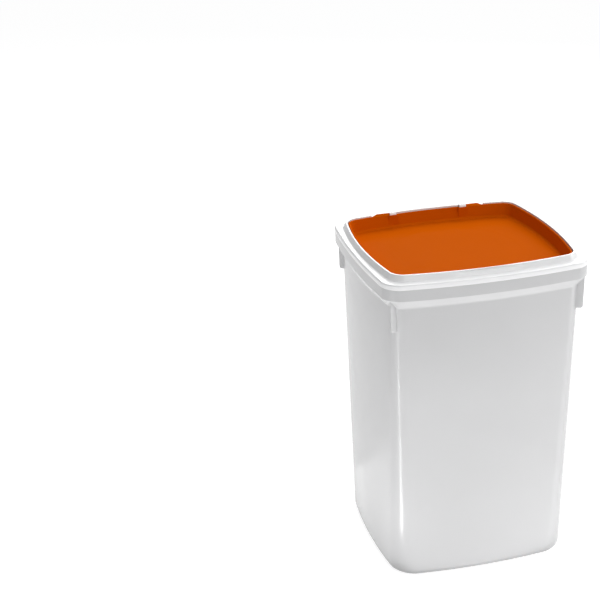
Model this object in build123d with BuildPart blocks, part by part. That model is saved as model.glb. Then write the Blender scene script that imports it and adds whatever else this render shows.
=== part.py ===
import math
import os

from build123d import *

os.makedirs("parts", exist_ok=True)

# Tub: half sizes are measured to the corner where its bowed sides would meet
foot_half_x = 121.5
foot_half_y = 112.5
foot_bow_x = 9.0
foot_bow_y = 9.0
foot_corner = 38.0
shoulder_half_x = 126.5
shoulder_half_y = 122.5
shoulder_bow_x = 11.0
shoulder_bow_y = 10.0
shoulder_corner = 22.5
shoulder_height = 407.0
tub_wall = 2.2
tub_floor = 2.5
foot_rounding = 10.5
foot_ring_width = 14.0
foot_recess = 1.5

# Collar at the top of the tub, and the rim that the frame sits on
side_overhang = 11.5
front_overhang = 5.6
collar_bow_x = 7.2
collar_bow_y = 11.2
collar_corner = 26.4
collar_inset = 0.5
cove_height = 11.5
cove_rounding = 5.0
collar_rounding = 1.2
collar_height = 15.5
rim_height = 3.0

# Gussets under the collar, at the corners
gusset_height = 33.0
gusset_thickness = 3.0
gusset_side_inset = 2.5
gusset_front_inset = 5.0
gusset_turn = 26.0
gusset_top_reach = 8.8
gusset_bottom_reach = 7.8
gusset_root = 20.0
gusset_rounding = 3.0

# Frame that snaps on the tub's rim
frame_seal_thickness = 1.5
plate_thickness = 2.5
plate_rounding = 2.2
skirt_thickness = 2.0
rim_clearance = 0.3
plug_clearance = 0.4
plug_thickness = 1.8
plug_depth = 11.5
bead_height = 1.6
bead_reach = 0.9
bead_from_bottom = 4.0
groove_play = 0.3
upstand_height = 7.5
upstand_rim = 2.4
upstand_slope = 3.3
upstand_rounding = 0.7
step_rounding = 1.0
well_wall = 2.2
ledge_width = 11.0
ledge_thickness = 2.2
scoop_half_width = 56.0
scoop_drop = 2.2
scoop_tilt = 36.0
scoop_length = 8.9

# Flap and its tray
shelf_width = 17.3
flap_bow = 11.0
flap_corner = 18.0
flap_gap = 0.8
flap_below_rim = 1.5
flap_depth = 20.0
flap_wall = 2.2
flap_floor = 2.2
flap_draft = 4.5
flap_rim_rounding = 0.8
flap_foot_rounding = 1.5
tray_rounding = 3.0
relief_radius = 88.0
relief_height = 0.5
lid_seal_inset = 1.0
lid_seal_width = 4.0
lid_seal_thickness = 2.0

# Hinge at the rear edge of the flap
hinge_inset = 1.8
hinge_below_rim = 1.0
knuckle_radius = 4.0
knuckle_inner = 58.0
knuckle_length = 25.0
trunnion_radius = 2.0
trunnion_length = 8.5
trunnion_clearance = 0.08
ear_gap = 0.8
ear_width = 10.0
ear_radius = 3.6
notch_gap = 0.7
rear_rim_drop = 5.4

# Heights that follow from the sizes above
cove_top = shoulder_height + cove_height
collar_top = cove_top + collar_height
rim_top = collar_top + rim_height
plate_bottom = rim_top + frame_seal_thickness
plate_top = plate_bottom + plate_thickness
upstand_top = plate_top + upstand_height
flap_top = upstand_top - flap_below_rim
flap_bottom = flap_top - flap_depth
ledge_top = flap_bottom - lid_seal_thickness
ledge_bottom = ledge_top - ledge_thickness
tray_floor = flap_bottom + flap_floor
plug_bottom = plate_bottom - plug_depth
bead_middle = plug_bottom + bead_from_bottom
hinge_z = flap_top - hinge_below_rim
rear_rim_top = flap_top - rear_rim_drop
floor_top = foot_recess + tub_floor

# Offsets of the outlines that follow from the sizes above
frame_half_x = shoulder_half_x + side_overhang
frame_half_y = shoulder_half_y + front_overhang
flap_half_x = frame_half_x - shelf_width
flap_half_y = frame_half_y - shelf_width
hinge_y = flap_half_y + flap_bow - hinge_inset
neck_outer = -skirt_thickness - rim_clearance
neck_inner = neck_outer - tub_wall
plug_outer = neck_inner - plug_clearance
plug_inner = plug_outer - plug_thickness
upstand_outer = flap_gap + upstand_rim
upstand_foot = upstand_outer + upstand_slope
lid_seal_outer = -flap_draft - lid_seal_inset
lid_seal_inner = lid_seal_outer - lid_seal_width
tray_slope = flap_draft / flap_depth
knuckle_outer = knuckle_inner + knuckle_length
ear_outer = knuckle_inner - ear_gap
ear_inner = ear_outer - ear_width
notch_inner = knuckle_inner - ear_gap
notch_outer = knuckle_outer + notch_gap
gusset_x = shoulder_half_x - gusset_side_inset
gusset_y = shoulder_half_y - gusset_front_inset
gusset_along = math.cos(math.radians(gusset_turn))
gusset_across = math.sin(math.radians(gusset_turn))
gusset_bottom = shoulder_height - gusset_height
far = frame_half_x * 2


def bowed_outline(half_x, half_y, bow_x, bow_y, corner):
    with BuildLine() as loop:
        ThreePointArc((-half_x, -half_y), (0, -half_y - bow_y), (half_x, -half_y))
        ThreePointArc((half_x, -half_y), (half_x + bow_x, 0), (half_x, half_y))
        ThreePointArc((half_x, half_y), (0, half_y + bow_y), (-half_x, half_y))
        ThreePointArc((-half_x, half_y), (-half_x - bow_x, 0), (-half_x, -half_y))
    make_face(loop.edges())
    fillet(vertices(), corner)


def tub_outline(height, grow=0.0):
    share = height / shoulder_height
    bowed_outline(
        foot_half_x + share * (shoulder_half_x - foot_half_x) + grow,
        foot_half_y + share * (shoulder_half_y - foot_half_y) + grow,
        foot_bow_x + share * (shoulder_bow_x - foot_bow_x),
        foot_bow_y + share * (shoulder_bow_y - foot_bow_y),
        foot_corner + share * (shoulder_corner - foot_corner) + grow,
    )


def frame_outline(grow=0.0):
    bowed_outline(
        frame_half_x + grow,
        frame_half_y + grow,
        collar_bow_x,
        collar_bow_y,
        collar_corner + grow,
    )


def flap_outline(grow=0.0):
    bowed_outline(
        flap_half_x + grow,
        flap_half_y + grow,
        flap_bow,
        flap_bow,
        flap_corner + grow,
    )


# Hollow of the tub, up to its shoulder
with BuildPart() as tub_hollow:
    with BuildSketch(Plane.XY.offset(floor_top)):
        tub_outline(floor_top, -tub_wall)
    with BuildSketch(Plane.XY.offset(shoulder_height)):
        tub_outline(shoulder_height, -tub_wall)
    loft(ruled=True)
    low_edges = tub_hollow.edges().filter_by_position(Axis.Z, floor_top - 0.01, floor_top + 0.01)
    fillet(low_edges, foot_rounding - tub_wall)


# Tub with its collar, gussets and foot ring
with BuildPart() as bin_body:
    with BuildSketch(Plane.XY):
        tub_outline(0)
    with BuildSketch(Plane.XY.offset(shoulder_height)):
        tub_outline(shoulder_height)
    loft(ruled=True)
    foot_edges = bin_body.edges().filter_by_position(Axis.Z, -0.01, 0.01)
    fillet(foot_edges, foot_rounding)

    with BuildSketch(Plane.XY.offset(shoulder_height)):
        tub_outline(shoulder_height)
    with BuildSketch(Plane.XY.offset(cove_top)):
        frame_outline(-collar_inset)
    loft(ruled=True)
    with BuildSketch(Plane.XY.offset(cove_top)):
        frame_outline(-collar_inset)
    extrude(amount=collar_height)
    cove_low = bin_body.edges().filter_by_position(Axis.Z, shoulder_height - 0.01, shoulder_height + 0.01)
    fillet(cove_low, cove_rounding)
    cove_high = bin_body.edges().filter_by_position(Axis.Z, cove_top - 0.01, cove_top + 0.01)
    fillet(cove_high, collar_rounding)
    with BuildSketch(Plane.XY.offset(collar_top)):
        frame_outline(neck_outer)
    extrude(amount=rim_height)

    for side in (-1, 1):
        for end in (-1, 1):
            gusset_plane = Plane(
                origin=(side * gusset_x, end * gusset_y, 0),
                x_dir=(side * gusset_along, end * gusset_across, 0),
                z_dir=(end * gusset_across, -side * gusset_along, 0),
            )
            with BuildSketch(gusset_plane):
                with BuildLine():
                    Polyline(
                        (-gusset_root, gusset_bottom),
                        (gusset_bottom_reach, gusset_bottom),
                        (gusset_top_reach, cove_top),
                        (-gusset_root, cove_top),
                        close=True,
                    )
                make_face()
                low_corner = vertices().sort_by(Axis.Y)[:2].sort_by(Axis.X)
                fillet(low_corner[-1], gusset_rounding)
            extrude(amount=gusset_thickness / 2, both=True)

    add(tub_hollow.part, mode=Mode.SUBTRACT)
    with BuildSketch(Plane.XY.offset(shoulder_height)):
        tub_outline(shoulder_height, -tub_wall)
    with BuildSketch(Plane.XY.offset(cove_top)):
        frame_outline(neck_inner)
    loft(ruled=True, mode=Mode.SUBTRACT)
    with BuildSketch(Plane.XY.offset(cove_top)):
        frame_outline(neck_inner)
    extrude(amount=collar_height + rim_height, mode=Mode.SUBTRACT)

    with BuildSketch(Plane.XY.offset(bead_middle - bead_height - groove_play)):
        frame_outline(neck_inner)
    with BuildSketch(Plane.XY.offset(bead_middle)):
        frame_outline(neck_inner + bead_reach)
    loft(ruled=True, mode=Mode.SUBTRACT)
    with BuildSketch(Plane.XY.offset(bead_middle)):
        frame_outline(neck_inner + bead_reach)
    with BuildSketch(Plane.XY.offset(bead_middle + bead_height + groove_play)):
        frame_outline(neck_inner)
    loft(ruled=True, mode=Mode.SUBTRACT)

    with BuildSketch(Plane.XY):
        tub_outline(0, -foot_ring_width)
    extrude(amount=foot_recess, mode=Mode.SUBTRACT)

bin_body.part.label = "bin_body"
export_step(bin_body.part, "parts/bin_body.step")


# Frame with its skirt, plug, upstand, ledge, scoop and hinge ears
with BuildPart() as lid_frame:
    with BuildSketch(Plane.XY.offset(collar_top)):
        frame_outline()
    extrude(amount=plate_top - collar_top)
    top_edges = lid_frame.edges().filter_by_position(Axis.Z, plate_top - 0.01, plate_top + 0.01)
    fillet(top_edges, plate_rounding)
    with BuildSketch(Plane.XY.offset(collar_top)):
        frame_outline(-skirt_thickness)
    extrude(amount=plate_bottom - collar_top, mode=Mode.SUBTRACT)

    with BuildSketch(Plane.XY.offset(plug_bottom)):
        frame_outline(plug_outer)
        with BuildSketch(Plane.XY, mode=Mode.PRIVATE) as plug_hole:
            frame_outline(plug_inner)
        add(plug_hole.sketch, mode=Mode.SUBTRACT)
    extrude(amount=plug_depth)
    with BuildSketch(Plane.XY.offset(bead_middle - bead_height)):
        frame_outline(plug_outer)
    with BuildSketch(Plane.XY.offset(bead_middle)):
        frame_outline(plug_outer + bead_reach)
    loft(ruled=True)
    with BuildSketch(Plane.XY.offset(bead_middle)):
        frame_outline(plug_outer + bead_reach)
    with BuildSketch(Plane.XY.offset(bead_middle + bead_height)):
        frame_outline(plug_outer)
    loft(ruled=True)
    with BuildSketch(Plane.XY.offset(plug_bottom)):
        frame_outline(plug_inner)
    extrude(amount=plug_depth, mode=Mode.SUBTRACT)

    with BuildSketch(Plane.XY.offset(ledge_bottom)):
        flap_outline(flap_gap + well_wall)
    extrude(amount=plate_top - ledge_bottom)
    with BuildSketch(Plane.XY.offset(plate_top)):
        flap_outline(upstand_foot)
    with BuildSketch(Plane.XY.offset(upstand_top)):
        flap_outline(upstand_outer)
    loft(ruled=True)
    with BuildSketch(Plane.XY.offset(ledge_top)):
        flap_outline(flap_gap)
    extrude(amount=upstand_top - ledge_top, mode=Mode.SUBTRACT)
    with BuildSketch(Plane.XY.offset(ledge_bottom)):
        flap_outline(flap_gap - ledge_width)
    extrude(amount=ledge_thickness, mode=Mode.SUBTRACT)
    rim_edges = lid_frame.edges().filter_by_position(Axis.Z, upstand_top - 0.01, upstand_top + 0.01)
    fillet(rim_edges, upstand_rounding)
    step_edges = lid_frame.edges().filter_by_position(Axis.Z, plate_top - 0.01, plate_top + 0.01)
    step_edges = step_edges.sort_by(SortBy.DISTANCE)[:8]
    fillet(step_edges, step_rounding)

    scoop_fall = scoop_drop * math.cos(math.radians(scoop_tilt))
    scoop_radius = (scoop_half_width**2 + scoop_fall**2) / (2 * scoop_fall)
    scoop_start = (0, -(flap_half_y + flap_bow + flap_gap), upstand_top - scoop_drop)
    scoop_way = (0, -math.cos(math.radians(scoop_tilt)), -math.sin(math.radians(scoop_tilt)))
    with BuildSketch(Plane(origin=scoop_start, x_dir=(1, 0, 0), z_dir=scoop_way)):
        with Locations((0, scoop_radius)):
            Circle(scoop_radius)
    extrude(amount=scoop_length, mode=Mode.SUBTRACT)

    for side in (-1, 1):
        with BuildSketch(Plane.XY.offset(plate_top)):
            with Locations((side * (notch_inner + notch_outer) / 2, hinge_y + knuckle_radius)):
                Rectangle(notch_outer - notch_inner, knuckle_radius * 4)
        extrude(amount=upstand_height, mode=Mode.SUBTRACT)
        ear_plane = Plane.YZ.offset(side * (ear_inner + ear_outer) / 2)
        with BuildSketch(ear_plane):
            with Locations((hinge_y, hinge_z)):
                Circle(ear_radius)
            with Locations((hinge_y + ear_radius / 2, (plate_top + hinge_z) / 2)):
                Rectangle(ear_radius, hinge_z - plate_top)
        extrude(amount=ear_width / 2, both=True)
        with BuildSketch(ear_plane):
            with Locations((hinge_y, hinge_z)):
                Circle(trunnion_radius + trunnion_clearance)
        extrude(amount=ear_width / 2, both=True, mode=Mode.SUBTRACT)

lid_frame.part.label = "lid_frame"
export_step(lid_frame.part, "parts/lid_frame.step")


# Ring gasket between the frame and the tub's rim
with BuildPart() as frame_seal:
    with BuildSketch(Plane.XY.offset(rim_top)):
        frame_outline(neck_outer)
        with BuildSketch(Plane.XY, mode=Mode.PRIVATE) as seal_hole:
            frame_outline(neck_inner)
        add(seal_hole.sketch, mode=Mode.SUBTRACT)
    extrude(amount=frame_seal_thickness)

frame_seal.part.label = "frame_seal"
export_step(frame_seal.part, "parts/frame_seal.step")


# Flap with its tray, knuckles and trunnions
with BuildPart() as flap_lid:
    with BuildSketch(Plane.XY.offset(flap_bottom)):
        flap_outline(-flap_draft)
    with BuildSketch(Plane.XY.offset(flap_top)):
        flap_outline()
    loft(ruled=True)
    low_edges = flap_lid.edges().filter_by_position(Axis.Z, flap_bottom - 0.01, flap_bottom + 0.01)
    fillet(low_edges, flap_foot_rounding)
    with BuildSketch(Plane.XY.offset(tray_floor)):
        flap_outline(-flap_wall - tray_slope * (flap_top - tray_floor))
    with BuildSketch(Plane.XY.offset(flap_top)):
        flap_outline(-flap_wall)
    loft(ruled=True, mode=Mode.SUBTRACT)
    floor_edges = flap_lid.edges().filter_by_position(Axis.Z, tray_floor - 0.01, tray_floor + 0.01)
    fillet(floor_edges, tray_rounding)
    brim_edges = flap_lid.edges().filter_by_position(Axis.Z, flap_top - 0.01, flap_top + 0.01)
    fillet(brim_edges, flap_rim_rounding)
    with BuildSketch(Plane.XY.offset(tray_floor)):
        Circle(relief_radius)
    extrude(amount=relief_height)

    with BuildSketch(Plane.XY.offset(rear_rim_top)):
        with Locations((0, flap_half_y)):
            Rectangle(2 * ear_outer, 4 * flap_bow)
    extrude(amount=rear_rim_drop, mode=Mode.SUBTRACT)
    for side in (-1, 1):
        with BuildSketch(Plane.YZ.offset(side * (knuckle_inner + knuckle_outer) / 2)):
            with Locations((hinge_y, hinge_z)):
                Circle(knuckle_radius)
        extrude(amount=knuckle_length / 2, both=True)
        with BuildSketch(Plane.YZ.offset(side * (knuckle_inner - trunnion_length / 2))):
            with Locations((hinge_y, hinge_z)):
                Circle(trunnion_radius)
        extrude(amount=trunnion_length / 2, both=True)

flap_lid.part.label = "flap_lid"
export_step(flap_lid.part, "parts/flap_lid.step")


# Ring gasket under the flap
with BuildPart() as lid_seal:
    with BuildSketch(Plane.XY.offset(ledge_top)):
        flap_outline(lid_seal_outer)
        with BuildSketch(Plane.XY, mode=Mode.PRIVATE) as lid_hole:
            flap_outline(lid_seal_inner)
        add(lid_hole.sketch, mode=Mode.SUBTRACT)
    extrude(amount=lid_seal_thickness)

lid_seal.part.label = "lid_seal"
export_step(lid_seal.part, "parts/lid_seal.step")
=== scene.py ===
import bpy
import math
from collections import namedtuple
from mathutils import Matrix, Vector


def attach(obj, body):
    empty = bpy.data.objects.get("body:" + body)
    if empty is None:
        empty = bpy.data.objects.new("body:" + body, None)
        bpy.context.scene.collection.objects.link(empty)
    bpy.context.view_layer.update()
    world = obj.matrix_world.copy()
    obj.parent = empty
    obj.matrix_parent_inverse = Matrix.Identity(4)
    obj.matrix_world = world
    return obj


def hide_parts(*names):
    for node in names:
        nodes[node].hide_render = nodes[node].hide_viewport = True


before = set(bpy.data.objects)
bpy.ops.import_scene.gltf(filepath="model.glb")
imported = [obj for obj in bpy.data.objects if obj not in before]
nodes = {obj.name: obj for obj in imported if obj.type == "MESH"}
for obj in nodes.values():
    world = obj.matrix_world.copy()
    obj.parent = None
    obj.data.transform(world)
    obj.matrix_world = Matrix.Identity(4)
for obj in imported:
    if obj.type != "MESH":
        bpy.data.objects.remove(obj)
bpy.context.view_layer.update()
bpy.ops.object.select_all(action="DESELECT")

# Camera at the photograph's viewing angle
CAMERA_TURN = math.radians(-13.041)
CAMERA_HEIGHT = math.radians(22.456)
CAMERA_ROLL = math.radians(-2.184)
CAMERA_SIDE = 0.226006
CAMERA_DROP = 0.327519
CAMERA_DISTANCE = 1.987464
LENS = 81.062


def place_camera():
    turn = (
        Matrix.Rotation(CAMERA_TURN, 3, "Z")
        @ Matrix.Rotation(math.pi / 2 - CAMERA_HEIGHT, 3, "X")
        @ Matrix.Rotation(CAMERA_ROLL, 3, "Z")
    )
    right, up, back = turn.col
    place = back * CAMERA_DISTANCE - right * CAMERA_SIDE + up * CAMERA_DROP
    bpy.ops.object.camera_add(location=place, rotation=turn.to_euler())
    camera = bpy.context.object
    camera.name = "photo_camera"
    camera.data.lens = LENS
    camera.data.sensor_width = 36
    camera.data.clip_end = 50
    bpy.context.scene.camera = camera


place_camera()


# Studio: a pale floor, a white surround and large soft lamps
def area_lamp(name, place, width, height, watts):
    bpy.ops.object.light_add(type="AREA", location=place)
    lamp = bpy.context.object
    lamp.name = name
    lamp.data.shape = "RECTANGLE"
    lamp.data.size = width
    lamp.data.size_y = height
    lamp.data.energy = watts
    return lamp


def soft_lamp(name, place, aim, width, height, watts):
    lamp = area_lamp(name, place, width, height, watts)
    lamp.rotation_euler = (Vector(aim) - Vector(place)).to_track_quat("-Z", "Y").to_euler()


# A long narrow lamp on the floor, which the tub's front left corner mirrors as one bright line
STRIP_START = Vector((-0.20, -0.145, 0.002))
STRIP_END = Vector((-0.97, -0.51, 0.002))
STRIP_WIDTH = 0.035
STRIP_WATTS = 0.9
FLOOR_LAMP_HEIGHT = 0.003


def corner_strip():
    middle = (STRIP_START + STRIP_END) / 2
    along = STRIP_END - STRIP_START
    lamp = area_lamp("corner_strip", middle, along.length, STRIP_WIDTH, STRIP_WATTS)
    turn = Matrix.Rotation(math.atan2(along.y, along.x), 4, "Z") @ Matrix.Rotation(math.pi, 4, "X")
    lamp.rotation_euler = turn.to_euler()
    lamp.visible_camera = False


def floor_lamp(name, place, width, height, watts):
    lamp = area_lamp(name, (*place, FLOOR_LAMP_HEIGHT), width, height, watts)
    lamp.rotation_euler = (math.pi, 0, 0)
    lamp.visible_camera = False


def add_node(tree, kind, **values):
    node = tree.nodes.new("ShaderNode" + kind)
    for name, value in values.items():
        setattr(node, name, value)
    return node


def white_where_seen(tree, lit, white, output):
    path = add_node(tree, "LightPath")
    seen = path.outputs["Is Camera Ray"]
    for ray in ("Is Glossy Ray", "Is Transmission Ray"):
        most = add_node(tree, "Math", operation="MAXIMUM")
        tree.links.new(seen, most.inputs[0])
        tree.links.new(path.outputs[ray], most.inputs[1])
        seen = most.outputs[0]
    mix = add_node(tree, "MixShader")
    tree.links.new(seen, mix.inputs[0])
    tree.links.new(lit, mix.inputs[1])
    tree.links.new(white, mix.inputs[2])
    tree.links.new(mix.outputs[0], output)


def white_world(strength):
    world = bpy.data.worlds.new("studio_surround")
    bpy.context.scene.world = world
    world.use_nodes = True
    tree = world.node_tree
    tree.nodes.clear()
    lit = add_node(tree, "Background")
    lit.inputs["Color"].default_value = (0.98, 0.985, 1.0, 1)
    lit.inputs["Strength"].default_value = strength
    white = add_node(tree, "Background")
    white.inputs["Color"].default_value = (1, 1, 1, 1)
    white.inputs["Strength"].default_value = 1.0
    out = add_node(tree, "OutputWorld")
    white_where_seen(tree, lit.outputs[0], white.outputs[0], out.inputs[0])


def new_material(name):
    material = bpy.data.materials.new(name)
    material.use_nodes = True
    tree = material.node_tree
    shader = tree.nodes["Principled BSDF"]
    return material, tree, shader


def pale_floor():
    bpy.ops.mesh.primitive_plane_add(size=12, location=(0, 0, -0.0005))
    floor = bpy.context.object
    floor.name = "pale_floor"
    material, tree, shader = new_material("pale_floor")
    shader.inputs["Base Color"].default_value = (0.93, 0.93, 0.93, 1)
    shader.inputs["Roughness"].default_value = 0.9
    shader.inputs["Specular IOR Level"].default_value = 0
    soft = add_node(tree, "BsdfDiffuse")
    soft.inputs["Color"].default_value = (0.32, 0.32, 0.32, 1)
    glow = add_node(tree, "Emission")
    glow.inputs["Color"].default_value = (1, 1, 1, 1)
    glow.inputs["Strength"].default_value = 0.9
    both = add_node(tree, "AddShader")
    tree.links.new(soft.outputs[0], both.inputs[0])
    tree.links.new(glow.outputs[0], both.inputs[1])
    out = tree.nodes["Material Output"]
    white_where_seen(tree, shader.outputs[0], both.outputs[0], out.inputs[0])
    floor.data.materials.append(material)


white_world(0.25)
pale_floor()
soft_lamp("back_top", (1.0, 1.6, 1.9), (0, 0, 0.4), 2.0, 1.5, 45)
soft_lamp("overhead", (0, -0.3, 2.4), (0, 0, 0.3), 1.6, 1.6, 7)
soft_lamp("front_high", (0.4, -2.0, 2.3), (0, 0, 0.3), 1.6, 1.4, 19)
soft_lamp("key_right", (2.3, -0.7, 1.1), (0, 0, 0.25), 1.2, 1.2, 14)
floor_lamp("glow_front", (0.15, -0.425), 2.2, 0.6, 3.9)
floor_lamp("glow_left", (-0.634, -0.40), 1.0, 1.2, 1.6)
corner_strip()
bpy.ops.object.select_all(action="DESELECT")

# Outlines in metres: half sizes to where the bowed sides meet, the bows, and the corner
Outline = namedtuple("Outline", "half_x half_y bow_x bow_y corner corner_share")
FOOT = Outline(0.1215, 0.1125, 0.0090, 0.0090, 0.0275, 0.80)
SHOULDER = Outline(0.1265, 0.1225, 0.0110, 0.0100, 0.01525, 0.80)
COLLAR = Outline(0.1380, 0.1281, 0.0072, 0.0112, 0.0195, 0.82)
FLAP = Outline(0.1207, 0.1108, 0.0110, 0.0110, 0.0115, 0.70)
CORNER_STEPS = 12
SIDE_CUTS = 23
LONG_EDGE = 0.1
WHOLE = 0.999
APART = 0.01
NEAR = 1e-5
ABOVE_ALL = 0.46
BEHIND_ALL = 0.14

# Heights in metres
RECESS = 0.0015
FLOOR_TOP = 0.004
SHOULDER_HEIGHT = 0.407
COVE_TOP = 0.4185
COLLAR_TOP = 0.434
RIM_TOP = 0.437
PLATE_BOTTOM = 0.4385
PLATE_TOP = 0.441
UPSTAND_TOP = 0.4485
FLAP_TOP = 0.447
FLAP_BOTTOM = 0.427
LEDGE_TOP = 0.425
LEDGE_BOTTOM = 0.4228
TRAY_FLOOR = 0.4292
PLUG_BOTTOM = 0.427
BEAD_MIDDLE = 0.431
BEAD_HALF = 0.0016
GROOVE_HALF = 0.0019
HINGE_Y = 0.120
HINGE_Z = 0.446


def activate(piece):
    bpy.ops.object.select_all(action="DESELECT")
    piece.select_set(True)
    bpy.context.view_layer.objects.active = piece


def clear_selection(mesh):
    for group in (mesh.vertices, mesh.edges, mesh.polygons):
        for item in group:
            item.select = False


def select_edges(piece, wanted):
    bpy.ops.object.mode_set(mode="OBJECT")
    mesh = piece.data
    clear_selection(mesh)
    spots = [v.co.copy() for v in mesh.vertices]
    for edge in mesh.edges:
        first, second = (spots[i] for i in edge.vertices)
        if wanted(first, second):
            edge.select = True
            for i in edge.vertices:
                mesh.vertices[i].select = True
    bpy.ops.object.mode_set(mode="EDIT")
    bpy.ops.mesh.select_mode(type="EDGE")


def select_vertices(piece, wanted):
    bpy.ops.object.mode_set(mode="OBJECT")
    clear_selection(piece.data)
    for vertex in piece.data.vertices:
        vertex.select = wanted(vertex.co)
    bpy.ops.object.mode_set(mode="EDIT")
    bpy.ops.mesh.select_mode(type="VERT")


def bow_side(ring, axis, side, reach, other, bow):
    middle = side * reach
    select_vertices(ring, lambda co: abs(co[axis] - middle) < NEAR and abs(co[1 - axis]) < NEAR)
    move = [0, 0, 0]
    move[axis] = side * bow
    bpy.ops.transform.translate(
        value=move,
        use_proportional_edit=True,
        proportional_edit_falloff="INVERSE_SQUARE",
        proportional_size=other,
    )


def outline_ring(outline, height, grow):
    half_x = outline.half_x + grow
    half_y = outline.half_y + grow
    corner = outline.corner + outline.corner_share * grow
    bpy.ops.mesh.primitive_plane_add(size=2, location=(0, 0, height))
    ring = bpy.context.object
    bpy.ops.object.mode_set(mode="EDIT")
    bpy.ops.transform.resize(value=(half_x, half_y, 1))
    bpy.ops.mesh.bevel(
        offset=corner, offset_type="OFFSET", segments=CORNER_STEPS, affect="VERTICES"
    )
    select_edges(ring, lambda a, b: (a - b).length > LONG_EDGE)
    bpy.ops.mesh.subdivide(number_cuts=SIDE_CUTS)
    for side in (-1, 1):
        bow_side(ring, 0, side, half_x, half_y, outline.bow_x)
        bow_side(ring, 1, side, half_y, half_x, outline.bow_y)
    bpy.ops.mesh.select_all(action="SELECT")
    bpy.ops.mesh.delete(type="ONLY_FACE")
    bpy.ops.object.mode_set(mode="OBJECT")
    return ring


def select_rings(shell, numbers):
    bpy.ops.object.mode_set(mode="OBJECT")
    mesh = shell.data
    clear_selection(mesh)
    ring_of = {}
    for number in numbers:
        group = shell.vertex_groups[f"ring_{number}"].index
        for vertex in mesh.vertices:
            if any(held.group == group and held.weight > WHOLE for held in vertex.groups):
                ring_of[vertex.index] = number
                vertex.select = True
    for edge in mesh.edges:
        first, second = edge.vertices
        edge.select = first in ring_of and ring_of[first] == ring_of.get(second)
    bpy.ops.object.mode_set(mode="EDIT")
    bpy.ops.mesh.select_mode(type="EDGE")


def ring_shell(name, rings, roundings, closed=False):
    made = []
    for number, (outline, height, grow) in enumerate(rings):
        ring = outline_ring(outline, number * APART, grow)
        group = ring.vertex_groups.new(name=f"ring_{number}")
        group.add(range(len(ring.data.vertices)), 1.0, "REPLACE")
        made.append(ring)
    activate(made[0])
    for ring in made:
        ring.select_set(True)
    bpy.ops.object.join()
    shell = bpy.context.object
    shell.name = name
    bpy.ops.object.transform_apply(location=True, rotation=True, scale=True)
    last = len(rings) - 1
    for number in range(last):
        select_rings(shell, (number, number + 1))
        bpy.ops.mesh.bridge_edge_loops()
    if closed:
        select_rings(shell, (last, 0))
        bpy.ops.mesh.bridge_edge_loops()
    else:
        for number in (0, last):
            select_rings(shell, (number,))
            bpy.ops.mesh.edge_face_add()
    for number, (outline, height, grow) in enumerate(rings):
        select_rings(shell, (number,))
        bpy.ops.transform.translate(value=(0, 0, height - number * APART))
    bpy.ops.mesh.select_all(action="SELECT")
    bpy.ops.mesh.normals_make_consistent(inside=False)
    for number, width, steps in roundings:
        select_rings(shell, (number,))
        bpy.ops.mesh.bevel(offset=width, offset_type="OFFSET", segments=steps, affect="EDGES")
    bpy.ops.object.mode_set(mode="OBJECT")
    shell.vertex_groups.clear()
    return shell


def combine(piece, tool, operation):
    activate(piece)
    bpy.ops.object.modifier_add(type="BOOLEAN")
    change = piece.modifiers[-1]
    change.operation = operation
    change.solver = "EXACT"
    change.object = tool
    bpy.ops.object.modifier_apply(modifier=change.name)
    bpy.data.objects.remove(tool, do_unlink=True)


def block(low, high):
    middle = [(a + b) / 2 for a, b in zip(low, high)]
    size = [b - a for a, b in zip(low, high)]
    bpy.ops.mesh.primitive_cube_add(size=1, location=middle, scale=size)
    bpy.ops.object.transform_apply(location=True, rotation=True, scale=True)
    return bpy.context.object


def rod(radius, start_x, end_x, y, z, rounding=0.0, sides=48):
    bpy.ops.mesh.primitive_cylinder_add(
        vertices=sides,
        radius=radius,
        depth=end_x - start_x,
        location=((start_x + end_x) / 2, y, z),
        rotation=(0, math.pi / 2, 0),
    )
    piece = bpy.context.object
    bpy.ops.object.transform_apply(location=True, rotation=True, scale=True)
    if rounding:
        select_edges(piece, lambda a, b: abs(a.x - b.x) < NEAR)
        bpy.ops.mesh.bevel(offset=rounding, offset_type="OFFSET", segments=4, affect="EDGES")
        bpy.ops.object.mode_set(mode="OBJECT")
    return piece


WELD = 1e-6
SMOOTH_ANGLE = math.radians(38)


def finish_piece(piece, material, body, node):
    activate(piece)
    bpy.ops.object.mode_set(mode="EDIT")
    bpy.ops.mesh.select_all(action="SELECT")
    bpy.ops.mesh.remove_doubles(threshold=WELD)
    bpy.ops.object.mode_set(mode="OBJECT")
    bpy.ops.object.shade_smooth_by_angle(angle=SMOOTH_ANGLE)
    bpy.ops.object.modifier_add(type="WEIGHTED_NORMAL")
    even = piece.modifiers[-1]
    even.keep_sharp = True
    bpy.ops.object.modifier_apply(modifier=even.name)
    piece.data.materials.clear()
    piece.data.materials.append(material)
    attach(piece, body)
    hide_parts(node)


# Tub with its cove, collar, rim and gussets
GUSSET_X = 0.124
GUSSET_Y = 0.1175
GUSSET_TURN = math.radians(26)
GUSSET_HALF = 0.0015
GUSSET_LOW = 0.374
GUSSET_REACH = 0.0078
GUSSET_LEAN = 0.001
GUSSET_ROOT = 0.012
GUSSET_CORNER = 0.003
GUSSET_EDGE = 0.0004


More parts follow.
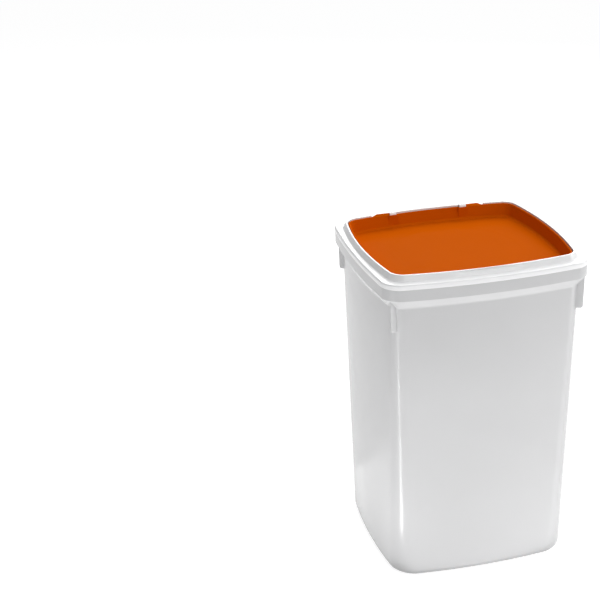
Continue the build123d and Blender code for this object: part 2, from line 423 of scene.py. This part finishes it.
def gusset(side, end):
    blade = block((-GUSSET_ROOT, -GUSSET_HALF, GUSSET_LOW), (GUSSET_REACH, GUSSET_HALF, COVE_TOP))
    middle = (GUSSET_LOW + COVE_TOP) / 2
    select_vertices(blade, lambda co: co.x > 0 and co.z > middle)
    bpy.ops.transform.translate(value=(GUSSET_LEAN, 0, 0))
    select_edges(blade, lambda a, b: min(a.x, b.x) > 0 and max(a.z, b.z) < middle)
    bpy.ops.mesh.bevel(offset=GUSSET_CORNER, offset_type="OFFSET", segments=6, affect="EDGES")
    select_edges(blade, lambda a, b: min(a.x, b.x) > 0 and abs(a.y - b.y) < NEAR)
    bpy.ops.mesh.bevel(offset=GUSSET_EDGE, offset_type="OFFSET", segments=2, affect="EDGES")
    bpy.ops.object.mode_set(mode="OBJECT")
    activate(blade)
    blade.rotation_euler.z = math.atan2(end * math.sin(GUSSET_TURN), side * math.cos(GUSSET_TURN))
    blade.location = (side * GUSSET_X, end * GUSSET_Y, 0)
    bpy.ops.object.transform_apply(location=True, rotation=True, scale=True)
    return blade


def make_tub():
    tub = ring_shell(
        "tub",
        (
            (FOOT, RECESS, -0.014),
            (FOOT, 0, -0.014),
            (FOOT, 0, 0),
            (SHOULDER, SHOULDER_HEIGHT, 0),
            (COLLAR, COVE_TOP, -0.0005),
            (COLLAR, COLLAR_TOP, -0.0005),
            (COLLAR, COLLAR_TOP, -0.0023),
            (COLLAR, RIM_TOP, -0.0023),
        ),
        ((1, 0.0006, 2), (2, 0.0105, 9), (3, 0.0021, 5), (4, 0.0008, 4), (5, 0.0004, 2)),
    )
    for side in (-1, 1):
        for end in (-1, 1):
            combine(tub, gusset(side, end), "UNION")
    hollow = ring_shell(
        "tub_hollow",
        (
            (FOOT, FLOOR_TOP, -0.0022),
            (SHOULDER, SHOULDER_HEIGHT, -0.0022),
            (COLLAR, COVE_TOP, -0.0045),
            (COLLAR, BEAD_MIDDLE - GROOVE_HALF, -0.0045),
            (COLLAR, BEAD_MIDDLE, -0.0036),
            (COLLAR, BEAD_MIDDLE + GROOVE_HALF, -0.0045),
            (COLLAR, RIM_TOP + 0.001, -0.0045),
        ),
        ((0, 0.0083, 7), (1, 0.0015, 3), (2, 0.0015, 3)),
    )
    combine(tub, hollow, "DIFFERENCE")
    return tub


# Frame with its skirt, plug, upstand, ledge, dish, knuckle notches and hinge ears
DISH_HALF = 0.056
DISH_DROP = 0.0022
DISH_TILT = math.radians(36)
NOTCH_INNER = 0.0572
NOTCH_OUTER = 0.0837
EAR_INNER = 0.0472
EAR_OUTER = 0.0571
EAR_RADIUS = 0.0036
EAR_ROUNDING = 0.0005
EAR_FOOT = 0.440
BORE_RADIUS = 0.00208
DISH_LENGTH = 0.0089
NOTCH_FRONT = 0.116
NOTCH_BACK = 0.132
NOTCH_TOP = 0.455
SLIVER = 0.0001
OVERRUN = 0.001


def dish_cutter():
    fall = DISH_DROP * math.cos(DISH_TILT)
    radius = (DISH_HALF**2 + fall**2) / (2 * fall)
    start = Vector((0, -(FLAP.half_y + FLAP.bow_y + 0.0008), UPSTAND_TOP - DISH_DROP))
    way = Vector((0, -math.cos(DISH_TILT), -math.sin(DISH_TILT)))
    up = Vector((0, -math.sin(DISH_TILT), math.cos(DISH_TILT)))
    bpy.ops.mesh.primitive_cylinder_add(
        vertices=1024,
        radius=radius,
        depth=DISH_LENGTH,
        location=start + up * radius + way * (DISH_LENGTH / 2),
        rotation=way.to_track_quat("Z", "Y").to_euler(),
    )
    bpy.ops.object.transform_apply(location=True, rotation=True, scale=True)
    return bpy.context.object


def make_frame():
    body = ring_shell(
        "frame",
        (
            (COLLAR, COLLAR_TOP, -0.0020),
            (COLLAR, COLLAR_TOP, 0),
            (COLLAR, PLATE_TOP, 0),
            (FLAP, PLATE_TOP, 0.0065),
            (FLAP, UPSTAND_TOP, 0.0032),
            (FLAP, UPSTAND_TOP, 0.0008),
            (FLAP, LEDGE_TOP, 0.0008),
            (FLAP, LEDGE_TOP, -0.0102),
            (FLAP, LEDGE_BOTTOM, -0.0102),
            (FLAP, LEDGE_BOTTOM, 0.0030),
            (FLAP, PLATE_BOTTOM, 0.0030),
            (COLLAR, PLATE_BOTTOM, -0.0067),
            (COLLAR, PLUG_BOTTOM, -0.0067),
            (COLLAR, PLUG_BOTTOM, -0.0049),
            (COLLAR, BEAD_MIDDLE - BEAD_HALF, -0.0049),
            (COLLAR, BEAD_MIDDLE, -0.0040),
            (COLLAR, BEAD_MIDDLE + BEAD_HALF, -0.0049),
            (COLLAR, PLATE_BOTTOM, -0.0049),
            (COLLAR, PLATE_BOTTOM, -0.0020),
        ),
        (
            (1, 0.0004, 2),
            (2, 0.0022, 7),
            (3, 0.0007, 4),
            (4, 0.0005, 4),
            (5, 0.0007, 5),
            (7, 0.0004, 2),
            (8, 0.0004, 2),
            (15, 0.0003, 2),
        ),
        closed=True,
    )
    combine(body, dish_cutter(), "DIFFERENCE")
    for side in (-1, 1):
        low_x, high_x = sorted((side * NOTCH_INNER, side * NOTCH_OUTER))
        notch = block((low_x, NOTCH_FRONT, PLATE_TOP), (high_x, NOTCH_BACK, NOTCH_TOP))
        combine(body, notch, "DIFFERENCE")
        low_x, high_x = sorted((side * EAR_INNER, side * EAR_OUTER))
        ear = rod(EAR_RADIUS, low_x, high_x, HINGE_Y, HINGE_Z, EAR_ROUNDING)
        foot = block(
            (low_x, HINGE_Y + SLIVER, EAR_FOOT),
            (high_x, HINGE_Y + EAR_RADIUS - SLIVER, HINGE_Z),
        )
        combine(ear, foot, "UNION")
        combine(body, ear, "UNION")
        bore = rod(BORE_RADIUS, low_x - OVERRUN, high_x + OVERRUN, HINGE_Y, HINGE_Z)
        combine(body, bore, "DIFFERENCE")
    return body


# Flap with its tray, round relief, rear wall with ear pockets, knuckles and trunnions
RELIEF_RADIUS = 0.088
RELIEF_SLOPE = 0.007
RELIEF_DEPTH = 0.001
RELIEF_SUNK = 0.0001
RELIEF_FALL = 0.00037
REAR_RIM_TOP = 0.4461
POCKET_FLOOR = 0.4416
POCKET_INNER = 0.0464
POCKET_OUTER = 0.0578
POCKET_BACK = 0.1160
POCKET_WALL = 0.0016
POCKET_END = 0.1198
POCKET_STEP = 0.0002
REAR_FRONT = 0.09
KNUCKLE_INNER = 0.058
KNUCKLE_OUTER = 0.083
KNUCKLE_SLOPE = 0.008
KNUCKLE_RADIUS = 0.0033
KNUCKLE_Z = 0.4452
KNUCKLE_FALL = 0.0018
KNUCKLE_END_Y = 0.6
KNUCKLE_END_Z = 0.45
TRUNNION_START = 0.0495
TRUNNION_RADIUS = 0.002
TRUNNION_ROUNDING = 0.0003
TRUNNION_SIDES = 32
TRUNNION_ROOT = 0.002


def round_relief():
    bpy.ops.mesh.primitive_cylinder_add(
        vertices=128,
        radius=RELIEF_RADIUS,
        depth=RELIEF_DEPTH,
        location=(0, 0, TRAY_FLOOR - RELIEF_SUNK),
    )
    disc = bpy.context.object
    bpy.ops.object.transform_apply(location=True, rotation=True, scale=True)
    clear_selection(disc.data)
    for face in disc.data.polygons:
        face.select = face.normal.z > 0.9
    bpy.ops.object.mode_set(mode="EDIT")
    bpy.ops.mesh.select_mode(type="FACE")
    bpy.ops.mesh.inset(thickness=RELIEF_SLOPE, depth=0.0)
    rim = RELIEF_RADIUS - RELIEF_SLOPE / 2
    select_vertices(disc, lambda co: co.z > TRAY_FLOOR and math.hypot(co.x, co.y) > rim)
    bpy.ops.transform.translate(value=(0, 0, -RELIEF_FALL))
    bpy.ops.object.mode_set(mode="OBJECT")
    return disc


def knuckle(side):
    barrel_end = KNUCKLE_OUTER - KNUCKLE_SLOPE
    low_x, high_x = sorted((side * KNUCKLE_INNER, side * barrel_end))
    barrel = rod(KNUCKLE_RADIUS, low_x, high_x, HINGE_Y, KNUCKLE_Z)
    select_vertices(barrel, lambda co: abs(co.x) > barrel_end - NEAR)
    bpy.ops.mesh.select_mode(type="FACE")
    slope = (side * KNUCKLE_SLOPE, 0, -KNUCKLE_FALL)
    bpy.ops.mesh.extrude_region_move(TRANSFORM_OT_translate={"value": slope})
    bpy.ops.transform.resize(
        value=(1, KNUCKLE_END_Y, KNUCKLE_END_Z),
        center_override=(side * KNUCKLE_OUTER, HINGE_Y, KNUCKLE_Z - KNUCKLE_FALL),
    )
    bpy.ops.mesh.select_all(action="SELECT")
    bpy.ops.mesh.normals_make_consistent(inside=False)
    bpy.ops.object.mode_set(mode="OBJECT")
    return barrel


def make_flap():
    flap = ring_shell(
        "flap",
        (
            (FLAP, FLAP_BOTTOM, -0.0045),
            (FLAP, FLAP_TOP, 0),
            (FLAP, FLAP_TOP, -0.0022),
            (FLAP, TRAY_FLOOR, -0.0062),
        ),
        ((0, 0.0015, 4), (1, 0.0008, 5), (2, 0.0008, 5), (3, 0.003, 6)),
    )
    combine(flap, round_relief(), "UNION")
    over_rear = (POCKET_OUTER, BEHIND_ALL, ABOVE_ALL)
    combine(flap, block((-POCKET_OUTER, REAR_FRONT, REAR_RIM_TOP), over_rear), "DIFFERENCE")
    foot = TRAY_FLOOR - OVERRUN
    for side in (-1, 1):
        low_x, high_x = sorted((side * POCKET_INNER, side * POCKET_OUTER))
        hollow = block((low_x, POCKET_BACK, POCKET_FLOOR), (high_x, BEHIND_ALL, ABOVE_ALL))
        combine(flap, hollow, "DIFFERENCE")
        inner = side * (POCKET_INNER - POCKET_WALL)
        low_x, high_x = sorted((inner, side * (POCKET_OUTER + OVERRUN)))
        front_y = POCKET_BACK - POCKET_WALL
        front = block((low_x, front_y, foot), (high_x, POCKET_BACK, REAR_RIM_TOP))
        combine(flap, front, "UNION")
        low_x, high_x = sorted((inner, side * POCKET_INNER))
        end_top = REAR_RIM_TOP - POCKET_STEP
        end = block((low_x, POCKET_BACK - OVERRUN, foot), (high_x, POCKET_END, end_top))
        combine(flap, end, "UNION")
        combine(flap, knuckle(side), "UNION")
        low_x, high_x = sorted((side * TRUNNION_START, side * (KNUCKLE_INNER + TRUNNION_ROOT)))
        trunnion = rod(
            TRUNNION_RADIUS, low_x, high_x, HINGE_Y, HINGE_Z, TRUNNION_ROUNDING, TRUNNION_SIDES
        )
        combine(flap, trunnion, "UNION")
    return flap


# Finishes
def pattern_spots(tree):
    place = add_node(tree, "TexCoord")
    return place.outputs["Object"]


def tone(tree, shader, colour, size, spread):
    noise = add_node(tree, "TexNoise")
    noise.inputs["Scale"].default_value = 1 / size
    noise.inputs["Detail"].default_value = 2
    tree.links.new(pattern_spots(tree), noise.inputs["Vector"])
    ramp = add_node(tree, "ValToRGB")
    ramp.color_ramp.elements[0].position = 0.3
    ramp.color_ramp.elements[1].position = 0.7
    ramp.color_ramp.elements[0].color = [c * (1 - spread) for c in colour] + [1]
    ramp.color_ramp.elements[1].color = [c * (1 + spread) for c in colour] + [1]
    tree.links.new(noise.outputs["Fac"], ramp.inputs["Fac"])
    tree.links.new(ramp.outputs["Color"], shader.inputs["Base Color"])


def moulded_grain(tree, shader, size, depth):
    noise = add_node(tree, "TexNoise")
    noise.inputs["Scale"].default_value = 1 / size
    noise.inputs["Detail"].default_value = 3
    tree.links.new(pattern_spots(tree), noise.inputs["Vector"])
    bump = add_node(tree, "Bump")
    bump.inputs["Strength"].default_value = 1.0
    bump.inputs["Distance"].default_value = depth
    tree.links.new(noise.outputs["Fac"], bump.inputs["Height"])
    tree.links.new(bump.outputs["Normal"], shader.inputs["Normal"])


def gloss(tree, shader, low, high, size):
    noise = add_node(tree, "TexNoise")
    noise.inputs["Scale"].default_value = 1 / size
    noise.inputs["Detail"].default_value = 4
    tree.links.new(pattern_spots(tree), noise.inputs["Vector"])
    span = add_node(tree, "MapRange")
    span.inputs["From Min"].default_value = 0.3
    span.inputs["From Max"].default_value = 0.7
    span.inputs["To Min"].default_value = low
    span.inputs["To Max"].default_value = high
    tree.links.new(noise.outputs["Fac"], span.inputs["Value"])
    tree.links.new(span.outputs["Result"], shader.inputs["Roughness"])


def milky_plastic():
    material, tree, shader = new_material("milky_plastic")
    tone(tree, shader, (0.59, 0.59, 0.594), 0.12, 0.012)
    gloss(tree, shader, 0.19, 0.25, 0.05)
    moulded_grain(tree, shader, 0.0011, 0.000012)
    shader.inputs["Subsurface Weight"].default_value = 0.12
    shader.inputs["Subsurface Radius"].default_value = (1, 1, 1)
    shader.inputs["Subsurface Scale"].default_value = 0.006
    return material


def white_plastic():
    material, tree, shader = new_material("white_plastic")
    tone(tree, shader, (0.92, 0.92, 0.923), 0.1, 0.008)
    gloss(tree, shader, 0.2, 0.27, 0.04)
    moulded_grain(tree, shader, 0.0009, 0.000006)
    return material


def orange_plastic():
    material, tree, shader = new_material("orange_plastic")
    tone(tree, shader, (0.585, 0.097, 0.001), 0.08, 0.015)
    gloss(tree, shader, 0.14, 0.2, 0.04)
    moulded_grain(tree, shader, 0.0008, 0.000008)
    shader.inputs["Specular IOR Level"].default_value = 0.0005
    return material


def seal_rubber():
    material, tree, shader = new_material("seal_rubber")
    tone(tree, shader, (0.6, 0.6, 0.6), 0.03, 0.03)
    gloss(tree, shader, 0.62, 0.75, 0.01)
    moulded_grain(tree, shader, 0.0006, 0.00002)
    return material


def dress(node, material):
    mesh = nodes[node].data
    mesh.materials.clear()
    mesh.materials.append(material)


milky = milky_plastic()
white = white_plastic()
orange = orange_plastic()
rubber = seal_rubber()
dress("bin_body", milky)
dress("lid_frame", white)
dress("flap_lid", orange)
dress("frame_seal", rubber)
dress("lid_seal", rubber)

finish_piece(make_tub(), milky, "container", "bin_body")
finish_piece(make_frame(), white, "container", "lid_frame")
finish_piece(make_flap(), orange, "flap", "flap_lid")

bpy.context.scene.view_settings.view_transform = "Standard"
